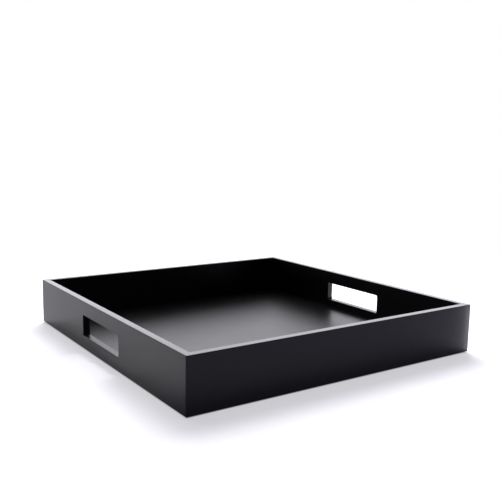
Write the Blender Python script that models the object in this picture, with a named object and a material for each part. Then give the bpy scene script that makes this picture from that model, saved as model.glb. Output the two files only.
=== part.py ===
# Low square serving tray: four mitred walls on edge round a tongued floor panel,
# a hand hole through two facing walls, hidden splines in the corners and felt feet below.
# Metres, +Z up. The origin is on the surface that the tray stands on, under its centre.

import math

import bmesh
import bpy
from mathutils import Matrix, Vector

# Whole tray
TRAY_LENGTH = 0.400               # along X, over the two walls with hand holes
TRAY_WIDTH = 0.400                # along Y, over the two plain walls
STANDOFF = 0.001                  # lower edge of the walls above the table
JOINT_GAP = 0.0003                # glue line or clearance between any two pieces

# Walls
WALL_HEIGHT = 0.059
WALL_THICKNESS = 0.009
EDGE_RADIUS = 0.0008              # softened edges that hold the lacquer
GROOVE_DEPTH = 0.0045             # groove for the floor panel, from the inner face

# Hand holes, midway along their walls
HAND_HOLE_LENGTH = 0.102
HAND_HOLE_HEIGHT = 0.025
HAND_HOLE_SILL = 0.0165           # lower edge of the hole above the walls' lower edge
HAND_HOLE_CORNER_RADIUS = 0.0015

# Floor panel
PANEL_RECESS = 0.003              # underside of the panel above the walls' lower edge
TONGUE_THICKNESS = 0.002
FIELD_RISE = 0.001                # top of the field above the tongue around it

# Corner splines
SPLINE_THICKNESS = 0.002
SPLINE_OUTER_COVER = 0.0016       # wood left between the slot and the outer faces
SPLINE_INNER_COVER = 0.0022       # wood left between the slot and the inner corner
SPLINE_END_COVER = 0.006          # wood left above the slot, and between it and the groove
SPLINE_CHAMFER = 0.0003

# Felt feet
FOOT_DIAMETER = 0.020
FOOT_INSET = 0.010                # edge of a foot from the inner faces of both walls
FOOT_EDGE_RADIUS = 0.0005

# How finely round shapes are drawn, and how far a cutter runs past what it cuts
EDGE_SEGMENTS = 4
CORNER_SEGMENTS = 4
FOOT_SEGMENTS = 40
FOOT_EDGE_SEGMENTS = 2
ROUND_PROFILE_SHARE = 0.5         # bevel profile that draws a circular arc
SMOOTH_ANGLE = math.radians(40)
CUT_OVERRUN = 0.002

# Each wall is a quarter turn about Z on from the one before it. Name, and whether it has
# a hand hole
WALLS = (
    ("front_wall", False),
    ("right_handle_wall", True),
    ("back_wall", False),
    ("left_handle_wall", True),
)

# Name and the signs of X and Y
CORNERS = (
    ("front_left", -1, -1),
    ("front_right", 1, -1),
    ("back_right", 1, 1),
    ("back_left", -1, 1),
)


def remove_old_objects():
    for old in list(bpy.data.objects):
        bpy.data.objects.remove(old, do_unlink=True)


def make_material(name, color, roughness, specular=0.5):
    material = bpy.data.materials.new(name)
    material.use_nodes = True
    shader = material.node_tree.nodes["Principled BSDF"]
    shader.inputs["Base Color"].default_value = (*color, 1.0)
    shader.inputs["Roughness"].default_value = roughness
    shader.inputs["Metallic"].default_value = 0.0
    shader.inputs["Specular IOR Level"].default_value = specular
    return material


def add_object(name, shape, material, parent):
    mesh = bpy.data.meshes.new(name)
    bmesh.ops.recalc_face_normals(shape, faces=shape.faces)
    shape.to_mesh(mesh)
    shape.free()
    item = bpy.data.objects.new(name, mesh)
    bpy.context.scene.collection.objects.link(item)
    item.parent = parent
    if material:
        mesh.materials.append(material)
    return item


def smooth_round_edges(item):
    item.data.shade_smooth()
    item.data.set_sharp_from_angle(angle=SMOOTH_ANGLE)


def make_box(low, high):
    low = Vector(low)
    high = Vector(high)
    shape = bmesh.new()
    place = Matrix.Translation((low + high) / 2) @ Matrix.Diagonal((*(high - low), 1.0))
    bmesh.ops.create_cube(shape, size=1.0, matrix=place)
    return shape


def round_edges(shape, edges, radius, segments):
    bmesh.ops.bevel(shape, geom=edges, offset=radius, offset_type="OFFSET",
                    segments=segments, profile=ROUND_PROFILE_SHARE, affect="EDGES",
                    clamp_overlap=True)


def add_cutter(name, shape, target):
    cutter = add_object(name, shape, None, target)
    cutter.hide_render = True
    cutter.display_type = "WIRE"
    cut = target.modifiers.new(name, "BOOLEAN")
    cut.operation = "DIFFERENCE"
    cut.solver = "EXACT"
    cut.object = cutter


# Walls: local X along the wall, Y from its outer face inwards, Z up from its lower edge

def cut_mitre(shape, wall_length, side):
    outward = Vector((side, 1.0, 0.0)).normalized()
    corner = Vector((side * wall_length / 2, 0.0, 0.0))
    geometry = shape.verts[:] + shape.edges[:] + shape.faces[:]
    bmesh.ops.bisect_plane(shape, geom=geometry, plane_co=corner - outward * JOINT_GAP / 2,
                           plane_no=outward, clear_outer=True)
    open_edges = [edge for edge in shape.edges if edge.is_boundary]
    bmesh.ops.holes_fill(shape, edges=open_edges, sides=0)


def make_wall_board(wall_length):
    shape = make_box((-wall_length / 2, 0.0, 0.0), (wall_length / 2, WALL_THICKNESS, WALL_HEIGHT))
    round_edges(shape, shape.edges[:], EDGE_RADIUS, EDGE_SEGMENTS)
    for side in (-1, 1):
        cut_mitre(shape, wall_length, side)
    return shape


def make_groove_cutter(wall_length):
    reach = wall_length / 2 + CUT_OVERRUN
    low = (-reach, WALL_THICKNESS - GROOVE_DEPTH, PANEL_RECESS - JOINT_GAP)
    high = (reach, WALL_THICKNESS + CUT_OVERRUN, PANEL_RECESS + TONGUE_THICKNESS + JOINT_GAP)
    return make_box(low, high)


def hand_hole_outline(spread):
    # Rounded rectangle in X and Z, grown by spread on every side
    radius = HAND_HOLE_CORNER_RADIUS + spread
    half_length = HAND_HOLE_LENGTH / 2 - HAND_HOLE_CORNER_RADIUS
    half_height = HAND_HOLE_HEIGHT / 2 - HAND_HOLE_CORNER_RADIUS
    middle = HAND_HOLE_SILL + HAND_HOLE_HEIGHT / 2
    points = []
    for quarter, (side_x, side_z) in enumerate(((1, 1), (-1, 1), (-1, -1), (1, -1))):
        for step in range(CORNER_SEGMENTS + 1):
            angle = (quarter + step / CORNER_SEGMENTS) * math.pi / 2
            x = side_x * half_length + radius * math.cos(angle)
            z = side_z * half_height + radius * math.sin(angle)
            points.append((x, middle + z))
    return points


def hand_hole_stations():
    # Depth into the wall and spread of the outline there. Both mouths flare by the edge
    # radius, and the first chord of each flare runs on past the face.
    step_angle = math.pi / 2 / EDGE_SEGMENTS
    stations = [(-CUT_OVERRUN, EDGE_RADIUS + CUT_OVERRUN / math.tan(step_angle / 2))]
    for step in range(1, EDGE_SEGMENTS + 1):
        angle = step * step_angle
        depth = EDGE_RADIUS * (1 - math.cos(angle))
        stations.append((depth, EDGE_RADIUS * (1 - math.sin(angle))))
    far_side = [(WALL_THICKNESS - depth, spread) for depth, spread in reversed(stations)]
    return stations + far_side


def make_hand_hole_cutter():
    shape = bmesh.new()
    rings = []
    for depth, spread in hand_hole_stations():
        rings.append([shape.verts.new((x, depth, z)) for x, z in hand_hole_outline(spread)])
    for near, far in zip(rings, rings[1:]):
        for index in range(len(near)):
            shape.faces.new((near[index - 1], near[index], far[index], far[index - 1]))
    shape.faces.new(rings[0])
    shape.faces.new(rings[-1])
    return shape


def spline_seat():
    # Distance of the spline's middle from the outer arris, along the mitre
    inner_limit = math.sqrt(2) * (WALL_THICKNESS - SPLINE_INNER_COVER)
    return inner_limit - SPLINE_THICKNESS / 2 - JOINT_GAP


def spline_half_width():
    outer_limit = math.sqrt(2) * SPLINE_OUTER_COVER
    return spline_seat() - SPLINE_THICKNESS / 2 - 2 * JOINT_GAP - outer_limit


def spline_heights():
    # Lower and upper end of the spline above the walls' lower edge
    groove_top = PANEL_RECESS + TONGUE_THICKNESS + JOINT_GAP
    low = groove_top + SPLINE_END_COVER + JOINT_GAP
    high = WALL_HEIGHT - SPLINE_END_COVER - JOINT_GAP
    return low, high


def make_spline_box(clearance):
    # Local X across the mitre, Y along it from the spline's middle, Z as on the walls
    low, high = spline_heights()
    half_width = spline_half_width() + clearance
    half_thickness = SPLINE_THICKNESS / 2 + clearance
    return make_box((-half_width, -half_thickness, low - clearance),
                    (half_width, half_thickness, high + clearance))


def make_slot_cutter(wall_length, side):
    shape = make_spline_box(JOINT_GAP)
    inwards = Vector((-side, 1.0, 0.0)).normalized()
    corner = Vector((side * wall_length / 2, 0.0, 0.0))
    turn = Matrix.Rotation(side * math.pi / 4, 4, "Z")
    shape.transform(Matrix.Translation(corner + inwards * spline_seat()) @ turn)
    return shape


def add_wall(name, quarter_turns, has_hand_hole, material, parent):
    along_y = quarter_turns % 2 == 1
    wall_length = TRAY_WIDTH if along_y else TRAY_LENGTH
    reach = (TRAY_LENGTH if along_y else TRAY_WIDTH) / 2
    angle = quarter_turns * math.pi / 2
    wall = add_object(name, make_wall_board(wall_length), material, parent)
    wall.rotation_euler = (0.0, 0.0, angle)
    wall.location = (reach * math.sin(angle), -reach * math.cos(angle), STANDOFF)
    smooth_round_edges(wall)
    add_cutter(name + "_groove_cutter", make_groove_cutter(wall_length), wall)
    for side, end in ((-1, "a"), (1, "b")):
        add_cutter(f"{name}_slot_cutter_{end}", make_slot_cutter(wall_length, side), wall)
    if has_hand_hole:
        add_cutter(name + "_hand_hole_cutter", make_hand_hole_cutter(), wall)
    return wall


# Floor panel: its tongue runs in the walls' grooves, and its raised field hides them

def add_base_panel(material, parent):
    half_length = TRAY_LENGTH / 2 - WALL_THICKNESS + GROOVE_DEPTH - JOINT_GAP
    half_width = TRAY_WIDTH / 2 - WALL_THICKNESS + GROOVE_DEPTH - JOINT_GAP
    shape = make_box((-half_length, -half_width, 0.0), (half_length, half_width, TONGUE_THICKNESS))
    top = [max(shape.faces, key=lambda face: face.normal.z)]
    bmesh.ops.inset_region(shape, faces=top, thickness=GROOVE_DEPTH, use_even_offset=True)
    raised = bmesh.ops.extrude_face_region(shape, geom=top)
    bmesh.ops.delete(shape, geom=top, context="FACES_ONLY")
    lifted = [part for part in raised["geom"] if isinstance(part, bmesh.types.BMVert)]
    bmesh.ops.translate(shape, verts=lifted, vec=(0.0, 0.0, FIELD_RISE))
    panel = add_object("base_panel", shape, material, parent)
    panel.location = (0.0, 0.0, STANDOFF + PANEL_RECESS)
    return panel


# Corner splines: loose tongues across the mitres, in slots stopped at both ends

def add_corner_spline(corner_name, side_x, side_y, material, parent):
    shape = make_spline_box(0.0)
    round_edges(shape, shape.edges[:], SPLINE_CHAMFER, 1)
    spline = add_object("corner_spline_" + corner_name, shape, material, parent)
    seat = spline_seat() / math.sqrt(2)
    x = side_x * (TRAY_LENGTH / 2 - seat)
    y = side_y * (TRAY_WIDTH / 2 - seat)
    spline.location = (x, y, STANDOFF)
    spline.rotation_euler = (0.0, 0.0, -side_x * side_y * math.pi / 4)
    return spline


# Felt feet: stuck under the panel, standing proud of the walls' lower edge

def add_felt_foot(corner_name, side_x, side_y, material, parent):
    thickness = STANDOFF + PANEL_RECESS - JOINT_GAP
    radius = FOOT_DIAMETER / 2
    shape = bmesh.new()
    place = Matrix.Translation((0.0, 0.0, thickness / 2))
    bmesh.ops.create_cone(shape, cap_ends=True, segments=FOOT_SEGMENTS, radius1=radius,
                          radius2=radius, depth=thickness, matrix=place)
    rims = [edge for edge in shape.edges if edge.calc_face_angle() > SMOOTH_ANGLE]
    round_edges(shape, rims, FOOT_EDGE_RADIUS, FOOT_EDGE_SEGMENTS)
    foot = add_object("felt_foot_" + corner_name, shape, material, parent)
    inset = WALL_THICKNESS + FOOT_INSET + radius
    foot.location = (side_x * (TRAY_LENGTH / 2 - inset), side_y * (TRAY_WIDTH / 2 - inset), 0.0)
    smooth_round_edges(foot)
    return foot


def build_tray():
    remove_old_objects()
    tray = bpy.data.objects.new("tray", None)
    bpy.context.scene.collection.objects.link(tray)
    lacquer = make_material("black_satin_lacquer", (0.006, 0.006, 0.007), 0.32)
    hardwood = make_material("bare_hardwood", (0.52, 0.36, 0.21), 0.65, 0.3)
    felt = make_material("black_felt", (0.022, 0.022, 0.024), 0.95, 0.1)
    for quarter_turns, (name, has_hand_hole) in enumerate(WALLS):
        add_wall(name, quarter_turns, has_hand_hole, lacquer, tray)
    add_base_panel(lacquer, tray)
    for corner_name, side_x, side_y in CORNERS:
        add_corner_spline(corner_name, side_x, side_y, hardwood, tray)
        add_felt_foot(corner_name, side_x, side_y, felt, tray)


build_tray()
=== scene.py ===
# Low square serving tray in black satin lacquer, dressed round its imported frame. Metres, +Z up.

import math

import bmesh
import bpy
from mathutils import Matrix, Vector


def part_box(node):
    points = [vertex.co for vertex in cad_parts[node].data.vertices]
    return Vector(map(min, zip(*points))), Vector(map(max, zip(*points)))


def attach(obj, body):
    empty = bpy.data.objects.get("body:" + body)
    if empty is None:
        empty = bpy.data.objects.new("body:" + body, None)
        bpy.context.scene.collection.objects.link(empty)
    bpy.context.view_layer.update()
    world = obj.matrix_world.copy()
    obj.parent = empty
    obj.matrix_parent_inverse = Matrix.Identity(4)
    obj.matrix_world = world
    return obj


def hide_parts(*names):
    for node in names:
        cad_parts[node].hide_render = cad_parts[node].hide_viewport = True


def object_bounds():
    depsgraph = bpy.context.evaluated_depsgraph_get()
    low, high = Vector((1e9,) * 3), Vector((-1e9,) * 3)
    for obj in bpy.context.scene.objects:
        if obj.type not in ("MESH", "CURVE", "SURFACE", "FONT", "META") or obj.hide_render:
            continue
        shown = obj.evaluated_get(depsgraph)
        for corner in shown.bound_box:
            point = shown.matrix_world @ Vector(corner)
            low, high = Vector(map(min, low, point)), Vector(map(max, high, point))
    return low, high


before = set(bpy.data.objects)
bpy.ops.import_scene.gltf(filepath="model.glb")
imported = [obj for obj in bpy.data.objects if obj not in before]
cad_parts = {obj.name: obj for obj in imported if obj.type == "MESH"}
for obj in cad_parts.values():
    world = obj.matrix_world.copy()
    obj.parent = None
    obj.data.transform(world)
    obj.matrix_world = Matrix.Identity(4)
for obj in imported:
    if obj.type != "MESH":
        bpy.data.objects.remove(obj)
cadLow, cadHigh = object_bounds()
print("frame loaded:", len(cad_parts), "nodes")


# Viewpoint

viewpoint = {
    "lens": 49.97,                      # millimetres, on a sensor 36 wide
    "shift": 0.0389,                    # the picture is cut off centre
    "place": (-0.5024, -0.7270, 0.2545),
    "azimuth": -33.51,                  # degrees, 0 looks along +Y
    "tilt": 9.04,                       # degrees below the horizon
    "roll": 0.85,
}


def addCamera(view):
    turn = Matrix.Rotation(math.radians(view["azimuth"]), 3, "Z")
    turn = turn @ Matrix.Rotation(math.radians(90 - view["tilt"]), 3, "X")
    turn = turn @ Matrix.Rotation(math.radians(view["roll"]), 3, "Z")
    bpy.ops.object.camera_add(location=view["place"], rotation=turn.to_euler())
    camera = bpy.context.active_object
    camera.data.lens = view["lens"]
    camera.data.shift_x = view["shift"]
    bpy.context.scene.camera = camera


# Node trees

class Signal:                           # one output socket; sums on it add Math nodes
    def __init__(self, recipe, socket):
        self.recipe = recipe
        self.socket = socket

    def math(self, operation, first, second=0.0):
        return self.recipe.node("ShaderNodeMath", {"operation": operation}, {0: first, 1: second})

    def __add__(self, other):
        return self.math("ADD", self, other)

    def __radd__(self, other):
        return self.math("ADD", other, self)

    def __sub__(self, other):
        return self.math("SUBTRACT", self, other)

    def __rsub__(self, other):
        return self.math("SUBTRACT", other, self)

    def __mul__(self, other):
        return self.math("MULTIPLY", self, other)

    def __rmul__(self, other):
        return self.math("MULTIPLY", other, self)

    def __abs__(self):
        return self.math("ABSOLUTE", self)

    def larger(self, other):
        return self.math("MAXIMUM", self, other)

    def ramp(self, start, end):         # 0 before start, 1 after end, smooth between
        sockets = {"Value": self, "From Min": start, "From Max": end}
        return self.recipe.node("ShaderNodeMapRange", {"interpolation_type": "SMOOTHSTEP"}, sockets)


class Recipe:                           # the node tree of a material or of the world
    def __init__(self, tree):
        self.tree = tree
        tree.nodes.clear()

    def node(self, kind, settings=None, sockets=None, output=0):
        made = self.tree.nodes.new(kind)
        for name, value in (settings or {}).items():
            setattr(made, name, value)
        for name, value in (sockets or {}).items():
            if isinstance(value, Signal):
                self.tree.links.new(value.socket, made.inputs[name])
            else:
                made.inputs[name].default_value = value
        return Signal(self, made.outputs[output])

    def finish(self, kind, sockets):    # the output node takes links only
        made = self.tree.nodes.new(kind)
        for name, value in sockets.items():
            self.tree.links.new(value.socket, made.inputs[name])

    def ray(self, kind):
        return self.node("ShaderNodeLightPath", output="Is " + kind + " Ray")

    def noise(self, place, size, detail=2.0):
        sockets = {"Vector": place, "Scale": 1 / size, "Detail": detail}
        return self.node("ShaderNodeTexNoise", {}, sockets)

    def stretch(self, place, turn, size):       # a pattern of scale 1 takes this size, turned about Z
        sockets = {"Vector": place, "Rotation": (0.0, 0.0, turn), "Scale": size}
        return self.node("ShaderNodeMapping", {"vector_type": "TEXTURE"}, sockets)

    def blend(self, factor, first, second):     # two colours, each a tuple or a signal
        colors = {0: factor}
        for slot, color in ((6, first), (7, second)):       # the Mix node's two colour sockets
            colors[slot] = color if isinstance(color, Signal) else (*color, 1.0)
        return self.node("ShaderNodeMix", {"data_type": "RGBA"}, colors, output=2)

    def bump(self, height, distance, normal=None):
        sockets = {"Height": height, "Distance": distance}
        if normal:
            sockets["Normal"] = normal
        return self.node("ShaderNodeBump", {}, sockets)


def startMaterial(name):
    material = bpy.data.materials.new(name)
    material.use_nodes = True
    return material, Recipe(material.node_tree)


# Studio: white behind, dim towards the viewer, a pale floor, two soft lamps and a slim one

studio = {
    "white": (1.0, 1.0, 1.0),
    "cool": (1.0, 0.985, 1.06),         # colour of every lamp and of the bright side
    "dusk": (0.96, 0.92, 1.22),         # colour of the dim side
    "ambient": 0.6,                     # share of the level that matt surfaces get; gloss sees it all
    "bright": (0.57, 0.82, 0.0),        # where the bright side lies
    "dimShare": 0.05,                   # what is left of the light on the viewer's side
    "dimUntil": 0.0,                    # share of the bright direction, where the dim side ends
    "brightFrom": 0.7,                  # and where the white one is at its full level
    "softboxes": {                      # compass and rise in degrees, from +Y towards +X
        "backdrop": {"compass": 24, "rise": 20, "away": 2.4, "size": (3.4, 1.3), "level": 1.43},
        "key": {"compass": 34, "rise": 54, "away": 1.3, "size": (1.0, 0.7), "level": 7.8},
    },
    "card": {                           # a slim card beside the far right corner, for its glint
        "place": (0.2035, -0.2035, 0.030),
        "faces": (-0.6, -0.8, 0.0),
        "size": (0.004, 0.058),
        "level": 18.0,
    },
    "floorColor": (0.9, 0.9, 0.9),
    "paintedShadeGlossColor": (0.47, 0.45, 0.53),  # painted shade: the floor before the front wall is darker only as seen in gloss
    "floorSpan": 8.0,
    "floorDrop": 0.0002,                # below the felt feet, so that the faces don't meet
    # colour of the light added to the floor below, which tints its shadows
    "addedLightColor": (0.995, 0.985, 1.025),
    "paperGlow": 0.56,                  # light added for the camera, in and around the shadows
    "gapDepth": 0.003,                  # but not deeper than this under the tray
    "frontGlow": 0.1,                   # and, as painted reflection light for gloss only, on the floor before the front wall
    "backGlow": 0.25,                   # and behind it
    "glowStart": -0.2,                  # along Y, where the one goes over into the other
    "glowEnd": -0.1,
    "fadeStart": 0.60,                  # the floor turns into plain white beyond the shadows
    "fadeEnd": 0.95,
}


def dressWorld(look):
    world = bpy.data.worlds.new("studioWorld")
    world.use_nodes = True
    bpy.context.scene.world = world
    recipe = Recipe(world.node_tree)
    direction = recipe.node("ShaderNodeTexCoord", output="Generated")
    towards = {0: direction, 1: Vector(look["bright"]).normalized()}
    share = recipe.node("ShaderNodeVectorMath", {"operation": "DOT_PRODUCT"}, towards, "Value")
    side = share.ramp(look["dimUntil"], look["brightFrom"])
    level = side * (1 - look["dimShare"]) + look["dimShare"]
    gloss = recipe.ray("Glossy").larger(recipe.ray("Transmission"))
    strength = level * (gloss * (1 - look["ambient"]) + look["ambient"])
    color = recipe.blend(side, look["dusk"], look["cool"])
    around = recipe.node("ShaderNodeBackground", {}, {"Color": color, "Strength": strength})
    white = recipe.node("ShaderNodeBackground", {}, {"Color": (*look["white"], 1.0)})
    mixed = recipe.node("ShaderNodeMixShader", {}, {0: recipe.ray("Camera"), 1: around, 2: white})
    recipe.finish("ShaderNodeOutputWorld", {"Surface": mixed})


def addLamp(name, place, faces, look, color):
    aim = faces.to_track_quat("-Z", "Y").to_euler()
    bpy.ops.object.light_add(type="AREA", location=place, rotation=aim)
    lamp = bpy.context.active_object
    lamp.name = name + "Lamp"
    lamp.visible_camera = False
    lamp.data.shape = "RECTANGLE"
    lamp.data.size, lamp.data.size_y = look["size"]
    lamp.data.energy = math.pi * lamp.data.size * lamp.data.size_y * look["level"]
    lamp.data.color = color
    return lamp


def addSoftbox(name, softbox, color):
    compass = math.radians(softbox["compass"])
    rise = math.radians(softbox["rise"])
    outward = Vector((math.sin(compass), math.cos(compass), 0.0)) * math.cos(rise)
    place = (outward + Vector((0.0, 0.0, math.sin(rise)))) * softbox["away"]
    return addLamp(name, place, -place, softbox, color)


def addLamps(look):
    addSoftbox("backdrop", look["softboxes"]["backdrop"], look["cool"])
    key = addSoftbox("key", look["softboxes"]["key"], look["cool"])
    key.visible_glossy = False          # it draws the shadow, and no glare on the lacquer
    card = look["card"]
    glint = addLamp("card", card["place"], Vector(card["faces"]), card, look["cool"])
    glint.visible_diffuse = False       # it shows in gloss only


def floorPaper(look):
    material, recipe = startMaterial("floorPaper")
    place = recipe.node("ShaderNodeTexCoord", output="Object")
    across = recipe.node("ShaderNodeSeparateXYZ", {}, {0: place}, "X")
    behind = recipe.node("ShaderNodeSeparateXYZ", {}, {0: place}, "Y")
    distance = recipe.node("ShaderNodeVectorMath", {"operation": "LENGTH"}, {0: place}, "Value")
    camera = recipe.ray("Camera")
    gloss = recipe.ray("Glossy").larger(recipe.ray("Transmission"))
    back = gloss * behind.ramp(look["glowStart"], look["glowEnd"])
    front = gloss - back
    # painted reflections: the floor glows for gloss rays only, dimly before the front wall and more
    # behind it
    paintedReflectionGlow = front * look["frontGlow"] + back * look["backGlow"]
    outside = abs(across).larger(abs(behind)).ramp(cadHigh.x - look["gapDepth"], cadHigh.x)
    added = {
        "Color": recipe.blend(front, look["addedLightColor"], look["dusk"]),
        "Strength": camera * outside * look["paperGlow"] + paintedReflectionGlow,
    }
    glow = recipe.node("ShaderNodeEmission", {}, added)
    # painted shade: before the front wall, gloss rays see a darker floor than the camera does
    color = recipe.blend(front, look["floorColor"], look["paintedShadeGlossColor"])
    matt = recipe.node("ShaderNodeBsdfDiffuse", {}, {"Color": color})
    lit = recipe.node("ShaderNodeAddShader", {}, {0: matt, 1: glow})
    white = recipe.node("ShaderNodeEmission", {}, {"Color": (*look["white"], 1.0)})
    clear = recipe.node("ShaderNodeBsdfTransparent")
    far = distance.ramp(look["fadeStart"], look["fadeEnd"]) * camera
    below = recipe.node("ShaderNodeNewGeometry", output="Backfacing")
    shown = recipe.node("ShaderNodeMixShader", {}, {0: far, 1: lit, 2: white})
    surface = recipe.node("ShaderNodeMixShader", {}, {0: below, 1: shown, 2: clear})
    recipe.finish("ShaderNodeOutputMaterial", {"Surface": surface})
    return material


def addFloor(look):
    drop = cadLow.z - look["floorDrop"]
    bpy.ops.mesh.primitive_plane_add(size=look["floorSpan"], location=(0.0, 0.0, drop))
    floor = bpy.context.active_object
    floor.name = "studioFloor"
    floor.data.materials.append(floorPaper(look))


# Modelling by hand: everything is deselected before a primitive is added

def addBox(name, low, high, turn=0.0):
    bpy.ops.object.select_all(action="DESELECT")
    bpy.ops.mesh.primitive_cube_add(size=1, location=(low + high) / 2, scale=high - low)
    box = bpy.context.active_object
    box.rotation_euler.z = turn
    bpy.ops.object.transform_apply(location=True, rotation=True, scale=True)
    box.name = name
    box.data.name = name
    return box


def pick(piece, kind, wanted):          # in edit mode; kind is FACE or EDGE
    bpy.ops.mesh.select_mode(type=kind)
    bpy.ops.mesh.select_all(action="DESELECT")
    shape = bmesh.from_edit_mesh(piece.data)
    for item in (shape.faces if kind == "FACE" else shape.edges):
        if wanted(item):
            item.select_set(True)
    bmesh.update_edit_mesh(piece.data)


def middle(item):
    return sum((vert.co for vert in item.verts), Vector()) / len(item.verts)


def roundPicked(radius, steps):
    bpy.ops.mesh.bevel(offset=radius, segments=steps, affect="EDGES")


def selectOnly(piece):
    bpy.ops.object.select_all(action="DESELECT")
    piece.select_set(True)
    bpy.context.view_layer.objects.active = piece


def openEdit(piece):
    selectOnly(piece)
    bpy.ops.object.mode_set(mode="EDIT")


def closeEdit():
    bpy.ops.mesh.select_all(action="SELECT")
    bpy.ops.mesh.normals_make_consistent(inside=False)
    bpy.ops.object.mode_set(mode="OBJECT")


def copyPiece(piece, name):
    selectOnly(piece)
    bpy.ops.object.duplicate()
    made = bpy.context.active_object
    made.name = name
    made.data.name = name
    return made


def smooth(piece, angle):               # round edges run on smoothly, flat faces stay flat
    selectOnly(piece)
    bpy.ops.object.shade_smooth_by_angle(angle=math.radians(angle))
    weighted = piece.modifiers.new("flatFaces", "WEIGHTED_NORMAL")
    weighted.keep_sharp = True
    bpy.ops.object.modifier_apply(modifier=weighted.name)


def dress(piece, material, slot, *nodes):
    piece.data.materials.clear()
    piece.data.materials.append(material)
    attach(piece, "root")
    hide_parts(*nodes)


# Black satin lacquer, on the walls and on the floor panel

lacquer = {
    "color": (0.0010, 0.0010, 0.0012),
    "thinColor": (0.0032, 0.0028, 0.0026),      # where the film is thin, the wood warms it
    "dustColor": (0.045, 0.045, 0.048),
    "ior": 1.5,
    "wallRoughness": 0.36,
    "panelRoughness": 0.35,
    "cloudSize": 0.075,                 # slow changes in the sheen
    "cloudMiddle": 0.5,                 # the noise varies round this
    "cloudDepth": 0.03,
    "peelSize": 0.0021,                 # orange peel of the sprayed film
    "peelHeight": 0.000010,
    "mistSize": 0.00035,                # dry overspray, felt more than seen
    "mistDetail": 3.0,
    "mistHeight": 0.0000012,
    "dustSize": 0.0013,
    "dustDetail": 0.0,
    "dustFrom": 0.74,                   # only the highest noise makes a speck
    "dustTo": 0.78,
    "dustRoughness": 0.12,
    "polish": 0.12,                     # hands and cloths rub the rims smoother
    "sillPolish": 0.02,                 # and the sills of the hand holes only a little
    "polishFrom": 0.6,                  # how far a face must look upwards for that
    "rimFrom": 0.04,                    # height between the sills and the rims
    "rimTo": 0.05,
    "scuffRoughness": 0.06,             # dull hairlines that cups leave on the panel
    "scuffSize": (0.11, 0.0011, 0.11),
    "scuffTurns": (0.35, 1.95),
    "scuffFrom": 0.66,
    "scuffTo": 0.74,
}


def satinFilm(recipe, place, roughness):        # what the walls and the panel share
    cloud = recipe.noise(place, lacquer["cloudSize"])
    peel = recipe.noise(place, lacquer["peelSize"])
    mist = recipe.noise(place, lacquer["mistSize"], lacquer["mistDetail"])
    specks = recipe.noise(place, lacquer["dustSize"], lacquer["dustDetail"])
    dust = specks.ramp(lacquer["dustFrom"], lacquer["dustTo"])
    dulling = (cloud - lacquer["cloudMiddle"]) * (2 * lacquer["cloudDepth"])
    color = recipe.blend(cloud, lacquer["color"], lacquer["thinColor"])
    bumps = recipe.bump(peel, lacquer["peelHeight"])
    return {
        "Base Color": recipe.blend(dust * cloud, color, lacquer["dustColor"]),
        "Roughness": roughness + dulling + dust * lacquer["dustRoughness"],
        "IOR": lacquer["ior"],
        "Normal": recipe.bump(mist, lacquer["mistHeight"], bumps),
    }


def wallLacquer():
    material, recipe = startMaterial("wallLacquer")
    place = recipe.node("ShaderNodeTexCoord", output="Object")
    towards = recipe.node("ShaderNodeTexCoord", output="Normal")
    upwards = recipe.node("ShaderNodeSeparateXYZ", {}, {0: towards}, "Z")
    height = recipe.node("ShaderNodeSeparateXYZ", {}, {0: place}, "Z")
    rim = height.ramp(lacquer["rimFrom"], lacquer["rimTo"])
    polish = rim * (lacquer["polish"] - lacquer["sillPolish"]) + lacquer["sillPolish"]
    rubbed = upwards.ramp(lacquer["polishFrom"], 1.0) * polish
    film = satinFilm(recipe, place, lacquer["wallRoughness"] - rubbed)
    finish = recipe.node("ShaderNodeBsdfPrincipled", {}, film)
    recipe.finish("ShaderNodeOutputMaterial", {"Surface": finish})
    return material


def scuffs(recipe, place, turn):
    drawn = recipe.stretch(place, turn, lacquer["scuffSize"])
    return recipe.noise(drawn, 1.0).ramp(lacquer["scuffFrom"], lacquer["scuffTo"])


def panelLacquer():
    material, recipe = startMaterial("panelLacquer")
    place = recipe.node("ShaderNodeTexCoord", output="Object")
    first, second = (scuffs(recipe, place, turn) for turn in lacquer["scuffTurns"])
    dulled = first.larger(second) * lacquer["scuffRoughness"]
    film = satinFilm(recipe, place, dulled + lacquer["panelRoughness"])
    finish = recipe.node("ShaderNodeBsdfPrincipled", {}, film)
    recipe.finish("ShaderNodeOutputMaterial", {"Surface": finish})
    return material


# Walls: one ring with softened edges, sawn apart at the mitres

boards = {
    "cornerRadius": 0.0016,             # the four upright outer corners are sanded rounder
    "cornerSteps": 8,
    "edgeRadius": 0.0008,               # than the edges, which still hold the lacquer
    "edgeSteps": 5,
    "hardAngle": 40,                    # degrees; a sharper edge is a real one
    "jointGap": 0.00001,                # hairline at each mitre, under the lacquer
    "cutTolerance": 0.000001,           # how near counts as there, in picking and sawing
    "facing": 0.5,                      # how much of a direction must lie along an axis to count
    "grooveDepth": 0.0045,              # for the panel's tongue, from the inner faces
    "tongueThickness": 0.0020,
    "grooveClearance": 0.0003,
}

handHole = {
    "length": 0.102,
    "height": 0.025,
    "sill": 0.0165,                     # lower edge of the hole above the walls' lower edge
    "cornerRadius": 0.0015,
    "cornerSteps": 6,
}

splineSlot = {
    "width": 0.0089,                    # across the mitre
    "thickness": 0.0020,                # along it
    "clearance": 0.0003,
}

wallLow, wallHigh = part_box("front_wall")
wallThickness = wallHigh.y - wallLow.y
panelLow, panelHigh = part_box("base_panel")
grooveLow = panelLow.z - boards["grooveClearance"]
grooveHigh = panelLow.z + boards["tongueThickness"] + boards["grooveClearance"]
holeMiddle = wallLow.z + handHole["sill"] + handHole["height"] / 2


def facesInwards(face):
    place = middle(face)
    reach = max(abs(place.x), abs(place.y))
    upright = abs(face.normal.z) < boards["facing"]
    return upright and reach < cadHigh.x - wallThickness / 2


def isOuterCorner(edge):
    place = middle(edge)
    return min(abs(place.x), abs(place.y)) > cadHigh.x - boards["cutTolerance"]


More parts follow.
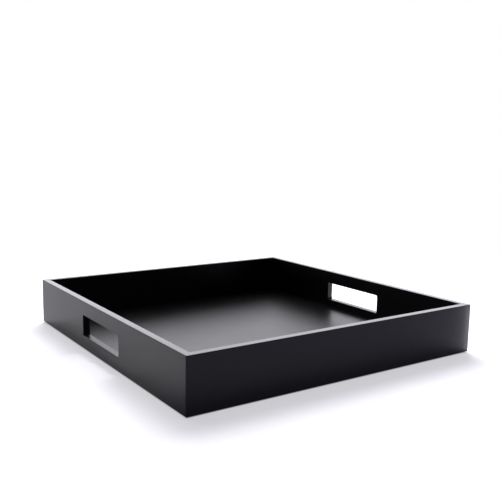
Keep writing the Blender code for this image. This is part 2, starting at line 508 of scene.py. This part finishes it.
def startRing():
    low = Vector((cadLow.x, cadLow.y, wallLow.z))
    high = Vector((cadHigh.x, cadHigh.y, wallHigh.z))
    ring = addBox("wallRing", low, high)
    openEdit(ring)
    pick(ring, "FACE", lambda face: abs(face.normal.z) > boards["facing"])
    bpy.ops.mesh.inset(thickness=wallThickness)
    bpy.ops.mesh.bridge_edge_loops()
    pick(ring, "EDGE", isOuterCorner)
    roundPicked(boards["cornerRadius"], boards["cornerSteps"])
    return ring


def ploughGroove(ring):
    for level in (grooveLow, grooveHigh):
        pick(ring, "FACE", facesInwards)
        bpy.ops.mesh.bisect(plane_co=(0, 0, level), plane_no=(0, 0, 1))
    pick(ring, "FACE", lambda face: facesInwards(face) and grooveLow < middle(face).z < grooveHigh)
    depth = {"value": -boards["grooveDepth"], "use_even_offset": True}
    bpy.ops.mesh.extrude_region_shrink_fatten(TRANSFORM_OT_shrink_fatten=depth)


def onHandleWall(face):
    return abs(face.normal.x) > boards["facing"] and middle(face).z > grooveHigh


def cutHandHoles(ring):
    halfLength = handHole["length"] / 2
    halfHeight = handHole["height"] / 2
    for across in (-halfLength, halfLength):
        pick(ring, "FACE", onHandleWall)
        bpy.ops.mesh.bisect(plane_co=(0, across, 0), plane_no=(0, 1, 0))
    for level in (holeMiddle - halfHeight, holeMiddle + halfHeight):
        pick(ring, "FACE", lambda face: onHandleWall(face) and abs(middle(face).y) < halfLength)
        bpy.ops.mesh.bisect(plane_co=(0, 0, level), plane_no=(0, 0, 1))

    def inHole(face, side):
        place = middle(face)
        inside = abs(place.y) < halfLength and abs(place.z - holeMiddle) < halfHeight
        return onHandleWall(face) and inside and place.x * side > 0

    for side in (-1, 1):
        pick(ring, "FACE", lambda face: inHole(face, side))
        bpy.ops.mesh.bridge_edge_loops()

    def isHoleCorner(edge):
        along = (edge.verts[1].co - edge.verts[0].co).normalized()
        place = middle(edge)
        atEnd = abs(abs(place.y) - halfLength) < boards["cutTolerance"]
        atLevel = abs(abs(place.z - holeMiddle) - halfHeight) < boards["cutTolerance"]
        return abs(along.x) > boards["facing"] and atEnd and atLevel

    pick(ring, "EDGE", isHoleCorner)
    roundPicked(handHole["cornerRadius"], handHole["cornerSteps"])


def isHardEdge(edge):
    place = middle(edge)
    inner = max(abs(place.x), abs(place.y)) < cadHigh.x - boards["edgeRadius"]
    inGroove = inner and abs(place.z - (grooveLow + grooveHigh) / 2) < (grooveHigh - grooveLow)
    return edge.calc_face_angle_signed() > math.radians(boards["hardAngle"]) and not inGroove


def softenEdges(ring):
    pick(ring, "EDGE", isHardEdge)
    roundPicked(boards["edgeRadius"], boards["edgeSteps"])
    closeEdit()


def sawWall(ring, name, outward):
    wall = copyPiece(ring, name)
    openEdit(wall)
    for side in (-1, 1):
        across = Vector((side * outward.y, -side * outward.x, 0.0))
        away = (across - outward).normalized()
        bpy.ops.mesh.select_all(action="SELECT")
        bpy.ops.mesh.bisect(plane_co=-away * boards["jointGap"] / 2, plane_no=away, use_fill=True,
                            clear_outer=True, threshold=boards["cutTolerance"])
    closeEdit()
    return wall


def cutSplineSlots(wall, *ends):
    grown = 2 * splineSlot["clearance"]
    for end in ends:
        low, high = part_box("corner_spline_" + end)
        place = (low + high) / 2
        size = Vector((splineSlot["width"], splineSlot["thickness"], high.z - low.z))
        size += Vector((grown, grown, grown))
        turn = -math.copysign(math.pi / 4, place.x * place.y)
        cutter = addBox("slotCutter", -size / 2, size / 2, turn)
        cutter.data.transform(Matrix.Translation(place))
        slot = wall.modifiers.new("splineSlot", "BOOLEAN")
        slot.operation = "DIFFERENCE"
        slot.object = cutter
        bpy.context.view_layer.objects.active = wall
        bpy.ops.object.modifier_apply(modifier=slot.name)
        bpy.data.objects.remove(cutter, do_unlink=True)


def turnHalf(piece):
    selectOnly(piece)
    bpy.ops.transform.rotate(value=math.pi, orient_axis="Z", center_override=(0, 0, 0))
    bpy.ops.object.transform_apply(location=True, rotation=True, scale=True)


def makeWalls():
    material = wallLacquer()
    ring = startRing()
    ploughGroove(ring)
    cutHandHoles(ring)
    softenEdges(ring)
    front = sawWall(ring, "frontWallBoard", Vector((0, -1, 0)))
    left = sawWall(ring, "leftHandleBoard", Vector((-1, 0, 0)))
    bpy.data.objects.remove(ring, do_unlink=True)
    cutSplineSlots(front, "front_left", "front_right")
    cutSplineSlots(left, "front_left", "back_left")
    smooth(front, boards["hardAngle"])
    smooth(left, boards["hardAngle"])
    back = copyPiece(front, "backWallBoard")
    right = copyPiece(left, "rightHandleBoard")
    turnHalf(back)
    turnHalf(right)
    dress(front, material, "lacquered_walls", "front_wall")
    dress(left, material, "lacquered_walls", "left_handle_wall")
    dress(back, material, "lacquered_walls", "back_wall")
    dress(right, material, "lacquered_walls", "right_handle_wall")
    print("walls made: one ring, sawn at the mitres")


# Floor panel: a tongue in the groove, and a field between the walls

panelShape = {
    "wallGap": 0.0001,                  # hairline between the field and the walls
    "edgeRadius": 0.0003,
    "edgeSteps": 3,
}


def makePanel():
    low = panelLow.copy()
    high = Vector((panelHigh.x, panelHigh.y, panelLow.z + boards["tongueThickness"]))
    panel = addBox("trayFloorPanel", low, high)
    openEdit(panel)
    pick(panel, "FACE", lambda face: face.normal.z > boards["facing"])
    fieldReach = cadHigh.x - wallThickness - panelShape["wallGap"]
    bpy.ops.mesh.inset(thickness=panelHigh.x - fieldReach)
    rise = {"value": (0, 0, panelHigh.z - high.z)}
    bpy.ops.mesh.extrude_region_move(TRANSFORM_OT_translate=rise)
    pick(panel, "EDGE", lambda edge: middle(edge).z > panelHigh.z - boards["cutTolerance"])
    roundPicked(panelShape["edgeRadius"], panelShape["edgeSteps"])
    closeEdit()
    smooth(panel, boards["hardAngle"])
    dress(panel, panelLacquer(), "lacquered_panel", "base_panel")
    print("floor panel made")


# Felt feet: one thick disc with a fibrous skin, copied into the other corners

corners = ("front_left", "front_right", "back_right", "back_left")

feltFoot = {
    "color": (0.010, 0.010, 0.011),
    "fibreColor": (0.040, 0.040, 0.043),
    "sheen": 0.5,
    "sheenRoughness": 0.6,
    "roughness": 0.95,
    "fibreSize": (0.0040, 0.00016, 0.0009),
    "fibreTurns": (0.3, 1.35, 2.4),     # each is a layer of fibres that lie one way
    "fibreDetail": 1.0,
    "fibreFrom": 0.45,                  # noise at which the paler fibres begin
    "fibreTo": 0.8,
    "fibreHeight": 0.00010,
    "sides": 48,
    "edgeRadius": 0.0008,               # the cut edge is a little rounded by wear
    "edgeSteps": 3,
    "grain": 0.0004,                    # size of the finished mesh's faces
    "lumpSize": 0.0016,
    "lumpHeight": 0.00025,
    "seatGap": 0.00015,                 # glue line to the panel, with room for the lumps
}


def blackFelt():
    material, recipe = startMaterial("blackFelt")
    place = recipe.node("ShaderNodeTexCoord", output="Object")
    fibres = [
        recipe.noise(recipe.stretch(place, turn, feltFoot["fibreSize"]), 1.0, feltFoot["fibreDetail"])
        for turn in feltFoot["fibreTurns"]
    ]
    mat = fibres[0].larger(fibres[1]).larger(fibres[2])
    pale = mat.ramp(feltFoot["fibreFrom"], feltFoot["fibreTo"])
    sockets = {
        "Base Color": recipe.blend(pale, feltFoot["color"], feltFoot["fibreColor"]),
        "Roughness": feltFoot["roughness"],
        "Sheen Weight": feltFoot["sheen"],
        "Sheen Roughness": feltFoot["sheenRoughness"],
        "Normal": recipe.bump(mat, feltFoot["fibreHeight"]),
    }
    finish = recipe.node("ShaderNodeBsdfPrincipled", {}, sockets)
    recipe.finish("ShaderNodeOutputMaterial", {"Surface": finish})
    return material


def firstFeltFoot(corner):
    low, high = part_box("felt_foot_" + corner)
    low = low + Vector((0.0, 0.0, feltFoot["lumpHeight"]))
    high = Vector((high.x, high.y, panelLow.z - feltFoot["seatGap"]))
    radius = (high.x - low.x) / 2 - feltFoot["lumpHeight"]
    bpy.ops.object.select_all(action="DESELECT")
    bpy.ops.mesh.primitive_cylinder_add(vertices=feltFoot["sides"], radius=radius,
                                        depth=high.z - low.z, location=(low + high) / 2)
    foot = bpy.context.active_object
    bpy.ops.object.transform_apply(location=True, rotation=True, scale=True)
    openEdit(foot)
    pick(foot, "EDGE", lambda edge: middle(edge).z < low.z + boards["cutTolerance"])
    roundPicked(feltFoot["edgeRadius"], feltFoot["edgeSteps"])
    closeEdit()
    skin = foot.modifiers.new("evenFaces", "REMESH")
    skin.mode = "VOXEL"
    skin.voxel_size = feltFoot["grain"]
    bpy.ops.object.modifier_apply(modifier=skin.name)
    lumps = bpy.data.textures.new("feltLumps", "CLOUDS")
    lumps.noise_scale = feltFoot["lumpSize"]
    fuzz = foot.modifiers.new("feltLumps", "DISPLACE")
    fuzz.texture = lumps
    fuzz.strength = feltFoot["lumpHeight"]
    bpy.ops.object.modifier_apply(modifier=fuzz.name)
    bpy.ops.object.shade_smooth()
    return foot


def footMiddle(corner):
    return sum(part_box("felt_foot_" + corner), Vector()) / 2


def makeFeltFeet():
    material = blackFelt()
    first = firstFeltFoot(corners[0])
    for corner in corners:
        foot = first
        if corner != corners[0]:
            foot = copyPiece(first, "feltFoot")
            foot.data.transform(Matrix.Translation(footMiddle(corner) - footMiddle(corners[0])))
        side, end = corner.split("_")
        foot.name = side + end.title() + "FeltFoot"
        foot.data.name = foot.name
        dress(foot, material, "felt_feet", "felt_foot_" + corner)
    print("felt feet made:", len(corners))


# Corner splines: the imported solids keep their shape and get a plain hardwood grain

hardwood = {
    "color": (0.48, 0.29, 0.16),
    "ringColor": (0.33, 0.18, 0.09),
    "fleckColor": (0.56, 0.37, 0.23),
    "roughness": 0.62,
    "ringSize": (0.0011, 0.0011, 0.045),        # the grain runs upright
    "ringDetail": 3.0,
    "ringFrom": 0.35,
    "ringTo": 0.7,
    "ringRoughness": 0.15,
    "fleckSize": (0.0003, 0.0003, 0.0024),
    "fleckFrom": 0.6,
    "fleckTo": 0.75,
    "poreHeight": 0.00006,
}


def splineHardwood():
    material, recipe = startMaterial("splineHardwood")
    place = recipe.node("ShaderNodeTexCoord", output="Object")
    drawn = recipe.stretch(place, 0.0, hardwood["ringSize"])
    rings = recipe.noise(drawn, 1.0, hardwood["ringDetail"])
    ringed = rings.ramp(hardwood["ringFrom"], hardwood["ringTo"])
    flecks = recipe.noise(recipe.stretch(place, 0.0, hardwood["fleckSize"]), 1.0)
    flecked = flecks.ramp(hardwood["fleckFrom"], hardwood["fleckTo"])
    color = recipe.blend(ringed, hardwood["color"], hardwood["ringColor"])
    sockets = {
        "Base Color": recipe.blend(flecked, color, hardwood["fleckColor"]),
        "Roughness": rings * hardwood["ringRoughness"] + hardwood["roughness"],
        "Normal": recipe.bump(flecks, hardwood["poreHeight"]),
    }
    finish = recipe.node("ShaderNodeBsdfPrincipled", {}, sockets)
    recipe.finish("ShaderNodeOutputMaterial", {"Surface": finish})
    return material


def dressSplines():
    material = splineHardwood()
    for corner in corners:
        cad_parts["corner_spline_" + corner].material_slots[0].material = material
    print("splines dressed:", len(corners))


# Run

bpy.context.scene.view_settings.view_transform = "Standard"
addCamera(viewpoint)
dressWorld(studio)
addLamps(studio)
addFloor(studio)
makeWalls()
makePanel()
makeFeltFeet()
dressSplines()
